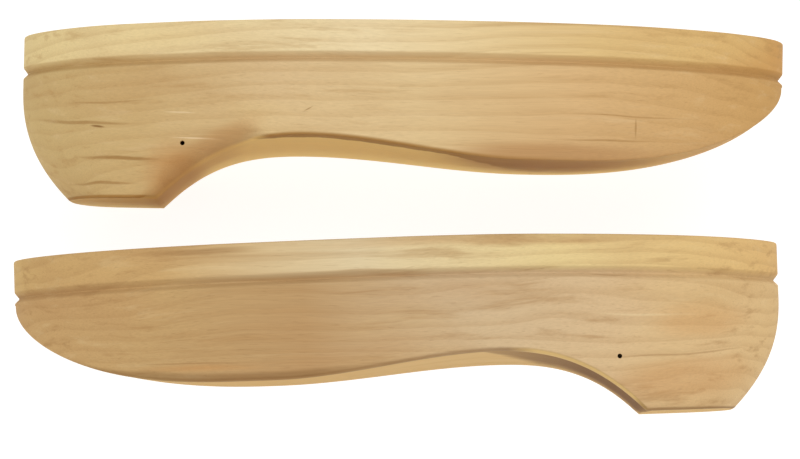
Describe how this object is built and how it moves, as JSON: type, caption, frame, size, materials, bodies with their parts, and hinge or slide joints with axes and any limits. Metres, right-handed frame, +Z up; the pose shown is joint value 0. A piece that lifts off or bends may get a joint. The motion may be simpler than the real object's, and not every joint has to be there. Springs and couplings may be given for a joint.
{
  "type": "pair of wooden clog soles",
  "caption": "Left and right wooden clog soles lying on their sides: raised heel, hollow arch, upturned toe, and a V groove all round under a plain rim for the upper.",
  "frame": {"origin": "centre of the pair's bounding box, on the ground the soles lie on", "axes": "+X along the soles, towards the right sole's toe; +Y from the left sole to the right one, the way both footbeds face; +Z up"},
  "size_m": [0.2676, 0.14, 0.09],
  "materials": {
    "wood": "bare pale hardwood, sanded, no varnish"
  },
  "bodies": {
    "right": {"right_sole": "wood"},
    "left": {"left_sole": "wood"}
  },
  "joints": [
    {"name": "left_sole_lift", "type": "slide", "parent": "right", "child": "left", "axis": [0, 0, 1], "range_m": [0, 0.11]}
  ]
}
